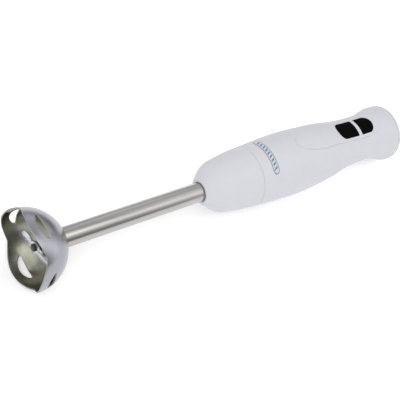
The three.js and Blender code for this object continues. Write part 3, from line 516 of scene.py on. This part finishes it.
# a quarter of the dome is a patch between its border and its slot, laid four times; above it is plain
def addBell():
    back, half, end, bow = bell["slotBack"], bell["slotHalf"], bell["slotEnd"], bell["slotBow"]
    tip, shoulder = half + end * bell["slotTip"], half * bell["slotShoulder"]
    quarter = np.pi / 4
    counts = bell["slotSteps"]
    valley = rimArc(np.array(quarter))
    top = bell["patchTop"]
    right = np.array([[valley, quarter], [top, quarter]])
    upper = np.array([[top, quarter], [top, -quarter]])
    left = np.array([[top, -quarter], [valley, -quarter]])
    at = np.linspace(-quarter, quarter, counts[0] + 1)
    rimEven = np.stack([rimArc(at), at], -1)
    outer = np.concatenate([rimEven[:-1], loopOf([right, upper, left], counts[1:])])
    bowed = slotLine(bezier([[back - end, -tip], [bow, -shoulder], [bow, shoulder], [back - end, tip]]))
    rightEnd = slotLine(bezier([[back - end, tip], [back, half + end], [back, half]]))
    straight = slotLine(spread([[back, half], [back, -half]], 40))
    leftEnd = slotLine(bezier([[back, -half], [back, -half - end], [back - end, -tip]]))
    inner = loopOf([bowed, rightEnd, straight, leftEnd], counts)
    patch = betweenLoops(outer, inner, 14)
    grids = []
    for quadrant in range(4):
        turn = quadrant * np.pi / 2 + math.radians(bell["turn"])
        grids.append((onBell(patch[..., 0], patch[..., 1] + turn), True, 0))
    pole = bellRadius * np.arccos(bell["poleRadius"] / bellRadius)
    arcs = np.linspace(top, pole, 33)[:, None]
    angles = np.linspace(-quarter, 2 * np.pi - quarter, 4 * counts[2], endpoint=False)[None, :]
    angles = angles + math.radians(bell["turn"])
    arcs, angles = np.broadcast_arrays(arcs, angles)
    grids.append((onBell(arcs, angles), True, 0))
    piece = addPiece("blendingBell", grids, [looks["bellSteel"], looks["shadedBellInside"]], "foot",
                     ["blending_bell"])
    thicken(piece, bell["wall"], bell["edge"])
    # the inner faces take the darker inside steel, painted shade inside the dome
    piece.modifiers["wall"].material_offset = 1
    # the cut edges of the slots and the rim take the darker steel as well, painted shade along the edges
    piece.modifiers["wall"].material_offset_rim = 1
    low, high = rimX + bellRadius - bell["throatSunk"], bellSpan["end"]
    inside, outside = bell["throatInner"], bell["throatOuter"]
    throat = [[low, inside], [low, outside], [high, outside], [high, inside]]
    # the throat inside the dome takes the same darker steel, painted shade
    addTurned("bellThroat", throat, "shadedBellInside", "foot", [], 0.4)


addBell()


print("tube and blade")
tubeSpan = span("foot_tube")
drive = {
    "tubeWall": 1.0,
    "shaftRadius": 2.0,
    "bore": 2.3,
    # place from the nut's start, and share of its radius there
    "nutCrown": [(0.0, 0.55), (0.3, 0.85), (0.7, 1.0)],
    "nutFloor": 0.75,
    "sealLip": 2.9,
    "sealBody": 3.5,
}


# a plain ring or bar between the ends and radii of a CAD node
def addRound(name, node, look, body, inner=None, soft=0.2, lift=0.0):
    size = span(node)
    inner = size["inner"] if inner is None else inner
    outline = [[size["start"], inner], [size["end"], inner], [size["end"], size["outer"]],
               [size["start"], size["outer"]]]
    return addTurned(name, outline, look, body, [node], soft, 128, lift)


addRound("footTube", "foot_tube", "tubeSteel", "foot",
         tubeSpan["outer"] - drive["tubeWall"], 0.15)
addRound("bladeSpacer", "blade_spacer", "blackPlastic", "blade_drive", drive["bore"])


# the shaft is a plain bar, the nut a domed cap with a blind hole, the seal a lip before a wider ring
def addShaftAndNut():
    shaft, nut, seal = span("drive_shaft"), span("blade_nut"), span("shaft_seal")
    thick, bore = drive["shaftRadius"], drive["bore"]
    bar = [[shaft["start"], 0], [shaft["end"], 0], [shaft["end"], thick], [shaft["start"], thick]]
    addTurned("driveShaft", bar, "machineSteel", "blade_drive", ["drive_shaft"],
              0.3, 48)
    start, end, reach = nut["start"], nut["end"], nut["outer"]
    floor = start + drive["nutFloor"]
    crown = [[start + place, reach * share] for place, share in drive["nutCrown"]]
    crown = [[start, 0], *crown, [end, reach], [end, bore], [floor, bore], [floor, 0]]
    addTurned("bladeNut", crown, "blackPlastic", "blade_drive", ["blade_nut"], 0.3, 64)
    low, high, wide = seal["start"], seal["end"], seal["outer"]
    step, thin = high - drive["sealBody"], drive["sealLip"]
    lip = [[low, bore], [low, thin], [step, thin], [step, wide], [high, wide], [high, bore]]
    addTurned("shaftSeal", lip, "blackRubber", "foot", ["shaft_seal"], 0.25, 64)


addShaftAndNut()


bladeForm = {
    "reach": 22.4,
    "width": 8.4,
    "hub": 5.2,
    "bore": 2.3,
    "angle": -22,
    "ground": 1.9,  # width of the ground slope along the edges
    "groundStart": 6.0,  # the slope grows to its full width over this distance from the hub
    # a wing's curves, as shares of its reach and width
    "fullSide": [(0.45, 0.95), (0.86, 0.6)],
    "tip": (1, -0.12),
    "hollowSide": (0.66, -0.02),
    "waist": 1.15,
    "edgeThickness": 0.5,
}


# two swept wings about a hub: the faces, then a ground slope down to a thin edge all round
def addBlade():
    size = span("blade")
    root = bladeForm["hub"] * 0.8
    lines = []
    for side in (1, -1):
        wing = side * np.array([bladeForm["reach"], bladeForm["width"]])
        start = side * root * np.array([1, 0.75])
        hub = side * root * np.array([0.9, -0.9])
        tip = wing * bladeForm["tip"]
        lines.append(bezier([start, *(wing * bladeForm["fullSide"]), tip]))
        lines.append(bezier([tip, wing * bladeForm["hollowSide"], hub]))
        lines.append(bezier([hub, [0, -side * bladeForm["hub"] * bladeForm["waist"]], -start]))
    edge = loopOf(lines, [60, 50, 16] * 2)
    direction = edge / np.linalg.norm(edge, axis=1, keepdims=True)
    tangent = np.roll(edge, -1, 0) - np.roll(edge, 1, 0)
    normal = np.stack([tangent[:, 1], -tangent[:, 0]], -1)
    normal = normal / np.linalg.norm(tangent, axis=1, keepdims=True)
    reach = np.linalg.norm(edge, axis=1, keepdims=True)
    ground = bladeForm["ground"] * np.clip((reach - bladeForm["hub"]) / bladeForm["groundStart"], 0, 1)
    inset = edge - normal * ground * np.sign((normal * direction).sum(1, keepdims=True))
    hole = direction * bladeForm["bore"]
    middle = (size["start"] + size["end"]) / 2
    half, thin = (size["end"] - size["start"]) / 2, bladeForm["edgeThickness"] / 2
    between = hole * 0.4 + inset * 0.6
    rows = [(hole, -half), (between, -half), (inset, -half), (edge, -thin), (edge, thin), (inset, half),
            (between, half), (hole, half), (hole, -half)]
    turn = math.radians(bladeForm["angle"])
    cos, sin = math.cos(turn), math.sin(turn)
    grid = np.stack([np.stack([np.full(len(flat), middle + x), flat[:, 0] * cos - flat[:, 1] * sin,
                               flat[:, 0] * sin + flat[:, 1] * cos], -1) for flat, x in rows])
    # the thin strip along the edge takes the darker steel, painted shade along the cutting edge
    grids = [(grid[:4], True, 0), (grid[3:5], True, 1), (grid[4:], True, 0)]
    addPiece("blade", grids, [looks["bladeSteel"], looks["shadedBladeEdge"]], "blade_drive", ["blade"],
             20)


addBlade()


print("adapter")
adapterSpan = span("foot_adapter")
adapter = {
    "noseRadius": 9.4,
    "shoulderRadius": 21.5,
    "shoulderAt": 17.4,
    "steepness": 1.6,
    "crown": 0.55,
    "seamRadius": 24.7,
    "wall": 2.4,
    "hole": 8.1,
    "noseWall": 3.84,
    "seamBevel": 0.08,
    "reach": 0.25,  # past the modelled edge, so that the seam looks as fine as a moulded one
    "length": 46.4,
    "noseRound": 0.6,
    "noseCrowding": 1.3,  # rows lie closer together towards the nose
    "ribBack": 4.8,  # from the adapter's edge
    "ribLength": 2.0,
    "ribInner": 19.3,
    "ribWidth": 24,
    "ribTurns": (0, 120, 240),
}


# the nose cone rises in a rounded curve to its shoulder, then runs almost straight to the seam
def adapterRadius(x):
    along = x - adapterSpan["start"]
    share = np.clip(along / adapter["shoulderAt"], 0, 1)
    cone = 1 - (1 - share) ** adapter["steepness"]
    rest = np.clip((along - adapter["shoulderAt"]) / (adapter["length"] - adapter["shoulderAt"]), 0, 1)
    straight = adapter["shoulderRadius"] + (adapter["seamRadius"] - adapter["shoulderRadius"]) * rest
    straight = straight + adapter["crown"] * np.sin(np.pi * rest)
    nose = adapter["noseRadius"] + (adapter["shoulderRadius"] - adapter["noseRadius"]) * cone
    return np.where(along < adapter["shoulderAt"], nose, straight)


# a hollow turned cone: rounded lip at the nose, outer curve, thin rim at the seam, inner curve, and ribs
def addAdapter():
    start, end, wall = adapterSpan["start"], adapterSpan["end"] + adapter["reach"], adapter["wall"]
    soft = adapter["noseRound"]
    share = np.linspace(0, 1, 90) ** adapter["noseCrowding"]
    outside = start + soft + (end - start - soft - adapter["seamBevel"]) * share
    inside = np.linspace(end, start + adapter["noseWall"], 50)
    curve = np.stack([outside, adapterRadius(outside)], -1)
    hollow = np.stack([inside, adapterRadius(inside) - wall], -1)
    nose = arcLine(start + soft, soft, 1.0, 180, 90, 6)
    first = adapterRadius(np.array(start + soft))
    lip = np.stack([nose[:, 0], first - soft + soft * nose[:, 1]], -1)
    rim = [[end, adapter["seamRadius"] - adapter["seamBevel"]]]
    outline = np.concatenate([[[start, adapter["hole"]]], lip[:-1], curve, rim, hollow,
                              [[start + adapter["noseWall"], adapter["hole"]]]])
    rib = adapterSpan["end"] - adapter["ribBack"]
    ribOuter = float(adapterRadius(np.array(rib))) - wall / 2
    ribs = [sectorBlock(rib, rib + adapter["ribLength"], adapter["ribInner"], ribOuter, turn,
                        adapter["ribWidth"]) for turn in adapter["ribTurns"]]
    addTurned("footAdapter", outline, "whitePlastic", "foot", ["foot_adapter"], 0.12,
              160, 0, ribs)


addAdapter()


print("housing")
housingSpan = span("motor_housing")
switches = {
    "rowFront": 90.4,
    "rowLength": 40.8,
    "bar": 4.0,
    "barAt": 23.2,  # from the row's front to the bar's middle
    "width": 16.0,
    "bow": 6.0,
    "corner": 1.2,
    "proud": 0.5,
    "edgeRound": 0.45,
    "clearance": 0.22,
    "panelFront": 42.5,
    "panelNose": 26.0,
    "panelWidth": 21.4,
    "panelBack": 137.2,
    "panelGap": 0.05,
    "panelWall": 1.9,
    "panelEdge": 0.25,
    "flange": 1.2,  # round the button, under the panel
    "flangeGap": 0.35,
    "flangeWall": 0.6,
    "skirt": 8.0,  # from the stem's foot to the flange
    "stemRadius": 1.6,
    "steps": [120, 30, 120, 30],
}


# the four sides of the panel's tongue outline, grown by a margin: right, back, left, front
def tongueLines(grow):
    half = switches["panelWidth"] / 2 + grow
    front = switches["panelFront"] + switches["panelNose"]
    back = switches["panelBack"] + grow - half
    nose = switches["panelNose"] + grow
    sideLine = np.concatenate([arcLine(front, nose, half, 135, 90), arcLine(back, half, half, 90, 45)])
    otherSide = sideLine[::-1] * [1, -1]
    return [sideLine, arcLine(back, half, half, 45, -45), otherSide,
            arcLine(front, nose, half, 225, 135)]


# flat points beside the axis, as axial place and angle from the button side
def toAngles(flat):
    return np.stack([flat[:, 0], np.arcsin(flat[:, 1] / handleRadius(flat[:, 0]))], -1)


# the skin: a patch round the panel's opening, the rest of that length, then whole rings at both ends
def addHousing():
    counts = switches["steps"]
    low, high, reach = handle["patchStart"], handle["patchEnd"], math.radians(handle["patchReach"])
    outer = loopOf([[[low, reach], [high, reach]], [[high, reach], [high, -reach]],
                    [[high, -reach], [low, -reach]], [[low, -reach], [low, reach]]], counts)
    tongue = toAngles(loopOf(tongueLines(switches["panelGap"]), counts))
    patch = betweenLoops(outer, tongue, 14)
    grids = [(onHandle(patch[..., 0], patch[..., 1]), True, 0)]
    rest = np.linspace(reach, 2 * np.pi - reach, 97)
    alongSide = np.linspace(low, high, counts[0] + 1)
    x, angle = np.meshgrid(alongSide, rest, indexing="ij")
    grids.append((onHandle(x, angle), False, 0))
    around = np.concatenate([np.linspace(-reach, reach, counts[1] + 1)[:-1], rest[:-1]])
    start, end = housingSpan["start"], housingSpan["end"]
    start = start - adapter["reach"]
    rounding = np.array(handle["seamRounding"])
    front = np.concatenate([start + rounding[:-1, 0], np.linspace(start + rounding[-1, 0], low, 44)])
    drawnIn = np.concatenate([rounding[:, 1], np.zeros(43)])
    x, angle = np.meshgrid(front, around, indexing="ij")
    grids.append((onHandle(x, angle, -np.broadcast_to(drawnIn[:, None], x.shape)), True, 0))
    x, angle = np.meshgrid(np.linspace(high, end, 22), around, indexing="ij")
    grids.append((onHandle(x, angle), True, 0))
    piece = addPiece("motorHousing", grids, [looks["whitePlastic"]], "motor_body", ["motor_housing"])
    thicken(piece, handle["wall"], handle["edge"])


addHousing()


# one button's outline as four open lines: outer bow, side, inner end, side
def keyLines(side, grow):
    half = switches["width"] / 2 + grow
    outerX = switches["rowFront"] if side < 0 else switches["rowFront"] + switches["rowLength"]
    outerX = outerX + side * grow
    innerX = switches["rowFront"] + switches["barAt"] + side * (switches["bar"] / 2 - grow)
    bow = switches["bow"] + grow
    corner = switches["corner"] + grow
    middle = outerX - side * bow
    outerEnd = arcLine(middle, side * bow, half, -90, 90)
    inner = innerX + side * corner
    upper = bezier([[inner, half], [innerX, half], [innerX, half - corner]], 12)
    lower = bezier([[innerX, -half + corner], [innerX, -half], [inner, -half]], 12)
    sideUp = np.array([[middle, half], [inner, half]])
    endLine = np.concatenate([upper, lower])
    sideDown = np.array([[inner, -half], [middle, -half]])
    return [outerEnd, sideUp, endLine, sideDown]


# the panel: a ring between the tongue's outline and an oval hole for both buttons, and a bar across it
def addPanel():
    counts = switches["steps"]
    outer = loopOf(tongueLines(0), counts)
    grow = switches["clearance"]
    half = switches["width"] / 2 + grow
    bow = switches["bow"] + grow
    front = switches["rowFront"] - grow + bow
    back = switches["rowFront"] + switches["rowLength"] + grow - bow
    sideLine = np.concatenate([arcLine(front, bow, half, 135, 90), arcLine(back, bow, half, 90, 45)])
    hole = loopOf([sideLine, arcLine(back, bow, half, 45, -45), sideLine[::-1] * [1, -1],
                   arcLine(front, bow, half, 225, 135)], counts)
    ringPatch = betweenLoops(outer, hole, 24)
    proud = handle["panelProud"]
    top = overHandle(ringPatch[..., 0], ringPatch[..., 1], proud)
    grids = [(top, True, 0)]
    middle = switches["rowFront"] + switches["barAt"]
    wide = switches["bar"] / 2 - grow
    x, y = np.meshgrid(np.linspace(middle - wide, middle + wide, 9), np.linspace(-half, half, 33),
                       indexing="ij")
    grids.append((overHandle(x, y, proud), False, 0))
    piece = addPiece("switchPanel", grids, [looks["whitePlastic"]], "motor_body", ["switch_panel"])
    thicken(piece, switches["panelWall"], switches["panelEdge"])


addPanel()


# a button: crowned top with a rounded edge, a flange under the panel, a skirt and a stem
def addKey(side, name, node, body):
    size = span(node)
    counts = [44, 20, 40, 20]
    edge = loopOf(keyLines(side, 0), counts)
    flange = loopOf(keyLines(side, switches["flange"]), counts)
    centre = edge.mean(0)
    away = edge - centre
    away = away / np.linalg.norm(away, axis=1, keepdims=True)
    proud, soft = switches["proud"], switches["edgeRound"]
    crown = edge - away * soft
    rows = [overHandle(*(centre + (crown - centre) * share).T, proud) for share in np.linspace(0, 1, 15)]
    for turn in np.radians([22, 45, 68, 90]):
        flat = edge - away * soft * (1 - math.sin(turn))
        rows.append(overHandle(*flat.T, proud - soft * (1 - math.cos(turn))))
    depth = handle["wall"] + switches["flangeGap"]
    rows.append(overHandle(*edge.T, -depth))
    rows.append(overHandle(*flange.T, -depth))
    foot = size["low"][2]
    bottom = min(foot + switches["skirt"], float(rows[-1][:, 2].min()) - switches["flangeWall"])
    under = np.concatenate([flange, np.full((len(flange), 1), bottom)], -1)
    rows.append(under)
    stem = np.array([(size["low"][0] + size["high"][0]) / 2, 0.0])
    turn = np.arctan2(under[:, 1], under[:, 0] - stem[0])
    circle = stem + switches["stemRadius"] * np.stack([np.cos(turn), np.sin(turn)], -1)
    rows.append(np.concatenate([circle, np.full((len(circle), 1), bottom)], -1))
    rows.append(np.concatenate([circle, np.full((len(circle), 1), foot)], -1))
    rows.append(np.broadcast_to([stem[0], 0, foot], rows[0].shape))
    grids = [(np.stack(rows), True, 0)]
    addPiece(name, grids, [looks["buttonRubber"]], body, [node], 50)


addKey(-1, "lowSpeedButton", "low_speed_button", "low_speed_key")
addKey(1, "highSpeedButton", "high_speed_button", "high_speed_key")


print("badge")
badge = {
    "at": 13.0,
    "length": 34.6,
    "width": 5.8,
    "line": 0.7,
    "proud": 0.12,
    "thickness": 0.6,
    "edgeShare": 0.985,  # of the half width, where the rounded edge starts
    "edgeDrop": 0.04,
    "bars": 9,
    "barLength": 3.0,  # along the tool
    "barWidth": 1.5,
    "barSlant": 1.6,
    "barSpacing": 3.3,
    "barProud": 0.03,
}


# one slanted bar of the badge: a four-sided plate that follows the handle's skin
def badgeBar(middle):
    half, wide, slant = badge["barLength"] / 2, badge["barWidth"] / 2, badge["barSlant"] / 2
    corners = np.array([[-half, -wide - slant], [half, -wide + slant], [half, wide + slant],
                        [-half, wide - slant]])
    corners = corners + [badge["at"], middle]
    edge = loopOf([corners[[side, (side + 1) % 4]] for side in range(4)], [4] * 4)
    centre = np.broadcast_to(edge.mean(0), edge.shape)
    top = badge["proud"] + badge["barProud"]
    bottom = badge["proud"] - badge["thickness"] / 2
    return np.stack([overHandle(*flat.T, rise) for flat, rise in
                     [(centre, top), (edge, top), (edge, bottom), (centre, bottom)]])


# a long oval plate across the handle: a printed line round it and a row of plain bars along its middle
def addBadge():
    half = badge["width"] / 2
    reach = badge["length"] / 2 - half
    straight = np.linspace(-reach, reach, 61)
    arc = np.linspace(0, np.pi, 17)

    def oval(share):
        wide = half * share
        ends = wide * np.stack([np.cos(arc), np.sin(arc)], -1)
        back = np.stack([np.full(59, wide), straight[1:-1]], -1)
        line = np.concatenate([ends + [0, reach], back[::-1] * [-1, 1], -ends - [0, reach], back])
        return line + [badge["at"], 0]

    inner = 1 - badge["line"] / half
    rise = badge["proud"]

    def skin(share, lift):
        flat = oval(share)
        return overHandle(flat[:, 0], flat[:, 1], lift)

    under = rise - badge["thickness"]
    rows = [skin(0.0, rise), skin(inner * 0.5, rise), skin(inner, rise), skin(badge["edgeShare"], rise),
            skin(1.0, rise - badge["edgeDrop"]), skin(1.0, under), skin(0.5, under), skin(0.0, under)]
    grid = np.stack(rows)
    grids = [(grid[:3], True, 1), (grid[2:], True, 0)]
    places = (np.arange(badge["bars"]) - (badge["bars"] - 1) / 2) * badge["barSpacing"]
    grids += [(badgeBar(place), True, 2) for place in places]
    addPiece("badge", grids, [looks["badgeLine"], looks["badgeField"], looks["badgeStripe"]],
             "motor_body", ["badge"], 40)


addBadge()


print("end cap")
cap = {
    "drop": 1.65,
    "edgeRadius": 24.2,
    "flatRadius": 14.0,
    "wall": 2.2,
    "skirtRadius": 19.2,
    "hole": 6.12,
    "gap": 0.25,  # between the housing's end and the cap's edge
    "glandBore": 3.6,
    "glandHead": 7.2,
    "glandHeadLength": 1.2,
    "glandNeck": 6.0,
}


# a quarter-ellipse shoulder from the housing's edge to the flat middle, and a skirt inside the housing
def addCap():
    size, gland = span("end_cap"), span("cord_gland")
    start, end = housingSpan["end"] + cap["gap"], size["end"]
    shoulder = arcLine(start, end - start, 1.0, 90, 0, 40)
    radius = cap["flatRadius"] + (cap["edgeRadius"] - cap["flatRadius"]) * shoulder[:, 1]
    curve = np.stack([shoulder[:, 0], radius], -1)
    skirt, wall = cap["skirtRadius"], cap["wall"]
    inside = [[size["start"], skirt - wall], [size["start"], skirt], [start, skirt]]
    middle = [[end, cap["hole"]], [end - wall, cap["hole"]], [end - wall, skirt - wall]]
    outline = np.concatenate([inside, curve, middle])
    addTurned("endCap", outline, "whitePlastic", "motor_body", ["end_cap"], 0.2, 160,
              -cap["drop"])
    low, high, step = gland["start"], gland["end"], gland["start"] + cap["glandHeadLength"]
    bore, head, neck = cap["glandBore"], cap["glandHead"], cap["glandNeck"]
    lip = [[low, bore], [low, head], [step, head], [step, neck], [high, neck], [high, bore]]
    addTurned("cordGland", lip, "blackRubber", "motor_body", ["cord_gland"], 0.35, 96,
              -cap["drop"])


addCap()


print("seam parts")
seamForm = {
    "grip": 11.1,  # outer radius of the sleeve round the tube
    "tubeHole": 8.1,
    "web": 2.5,
    "shaftHole": 3.0,
}


# the insert is a disc with a sleeve for the tube; the gasket is a ring of round section
def addSeamParts():
    insert, gasket = span("adapter_insert"), span("coupling_gasket")
    start, end, wide = insert["start"], insert["end"], insert["outer"]
    grip, hole, web = seamForm["grip"], seamForm["tubeHole"], end - seamForm["web"]
    outline = [[start, hole], [start, grip], [web, grip], [web, wide], [end, wide],
               [end, seamForm["shaftHole"]], [web, seamForm["shaftHole"]], [web, hole]]
    addTurned("adapterInsert", outline, "greyPlastic", "foot", ["adapter_insert"], 0.3)
    turn = np.linspace(0, 2 * np.pi, 24, endpoint=False)
    thick = (gasket["end"] - gasket["start"]) / 2
    ring = np.stack([(gasket["end"] + gasket["start"]) / 2 + thick * np.cos(turn),
                     gasket["outer"] - thick + thick * np.sin(turn)], -1)
    addTurned("couplingGasket", ring, "blackRubber", "gasket", ["coupling_gasket"], 0.05)


addSeamParts()


print("inner parts")
slotLooks = {
    "white_plastic": "whitePlastic",
    "button_rubber": "buttonRubber",
    "bell_steel": "bellSteel",
    "tube_steel": "tubeSteel",
    "blade_steel": "bladeSteel",
    "badge_print": "badgeLine",
    "black_rubber": "blackRubber",
    "black_plastic": "blackPlastic",
    "grey_plastic": "greyPlastic",
    "copper": "copper",
    "bronze": "bronze",
    "carbon": "carbon",
    "board": "board",
    "laminate": "laminate",
    "machine_steel": "machineSteel",
}


# every CAD node that is still shown takes the look that goes with its slot
def paintKept():
    for node in frame["nodes"].values():
        if node.hide_render:
            continue
        name = node.data.materials[0].name.split(".")[0] if node.data.materials else ""
        look = looks[slotLooks.get(name, "machineSteel")]
        node.data.materials.clear()
        node.data.materials.append(look)
        node.data.shade_smooth()
        node.data.set_sharp_from_angle(angle=math.radians(35))


paintKept()


print("light")
studio = {
    "floor": (0.95, 0.95, 0.955),
    "floorGlow": 0.22,
    "floorSize": 6.0,
    "world": 1.6,
    "lights": {
        "keyLight": {"place": (-0.5, -0.15, 1.5), "target": (0, 0, 0.03), "size": (2.0, 2.0),
                     "power": 8.5},
        "fillLight": {"place": (0.9, 0.7, 1.1), "target": (0, 0, 0.03), "size": (1.8, 1.4),
                      "power": 4.0, "colour": (0.97, 0.98, 1)},
        "rimLight": {"place": (-1.1, 0.5, 0.9), "target": (-0.1, 0, 0.03), "size": (1.2, 1.6),
                     "power": 3.0},
    },
    # brightness of the surroundings from one side of the tool to the other: place from -1 to 1, value
    "around": [(-1.0, 0.15), (-0.85, 0.22), (-0.72, 0.4), (-0.5, 1.0), (-0.3, 0.95), (-0.05, 0.45),
               (0.2, 0.2), (0.46, 0.1), (0.75, 0.32), (1.0, 0.42)],
}


# a wide bright square just under the tool, which glows a little
def addFloor():
    half = studio["floorSize"] / 2
    mesh = bpy.data.meshes.new("floor")
    mesh.from_pydata([(-half, -half, 0), (half, -half, 0), (half, half, 0), (-half, half, 0)], [],
                     [(0, 1, 2, 3)])
    material, shader = newMaterial("floor")
    shader.inputs["Base Color"].default_value = (*studio["floor"], 1)
    shader.inputs["Roughness"].default_value = 0.9
    shader.inputs["Specular IOR Level"].default_value = 0.1
    shader.inputs["Emission Color"].default_value = (1, 1, 1, 1)
    shader.inputs["Emission Strength"].default_value = studio["floorGlow"]
    mesh.materials.append(material)
    floor = bpy.data.objects.new("floor", mesh)
    bpy.context.scene.collection.objects.link(floor)
    floor.location.z = -0.0002


# a rectangular light at a place, facing a point
def addLight(name, place, target, size, power, colour=(1, 1, 1)):
    data = bpy.data.lights.new(name, "AREA")
    data.shape = "RECTANGLE"
    data.size, data.size_y = size
    data.energy = power
    data.color = colour
    light = bpy.data.objects.new(name, data)
    light.location = place
    way = Vector(target) - Vector(place)
    light.rotation_euler = way.to_track_quat("-Z", "Y").to_euler()
    bpy.context.scene.collection.objects.link(light)


# the surroundings: a soft bright side and a darker side, as of panels in a studio
def addWorld():
    world = bpy.data.worlds.new("studio")
    bpy.context.scene.world = world
    world.use_nodes = True
    tree = world.node_tree
    back = tree.nodes["Background"]
    place = tree.nodes.new("ShaderNodeTexCoord")
    split = tree.nodes.new("ShaderNodeSeparateXYZ")
    ramp = tree.nodes.new("ShaderNodeValToRGB")
    tree.links.new(place.outputs["Generated"], split.inputs["Vector"])
    tree.links.new(spreadValue(tree, split.outputs["Y"], 0, 1, -1, 1), ramp.inputs["Fac"])
    stops = ramp.color_ramp.elements
    ramp.color_ramp.interpolation = "B_SPLINE"
    around = studio["around"]
    for side, _ in around[1:-1]:
        stops.new((side + 1) / 2)
    for stop, (_, value) in zip(stops, around):
        stop.color = (value, value, value, 1)
    tree.links.new(ramp.outputs["Color"], back.inputs["Color"])
    back.inputs["Strength"].default_value = studio["world"]


addFloor()
for name, values in studio["lights"].items():
    addLight(name, **values)
addWorld()
bpy.context.scene.view_settings.view_transform = "Standard"


print("done")
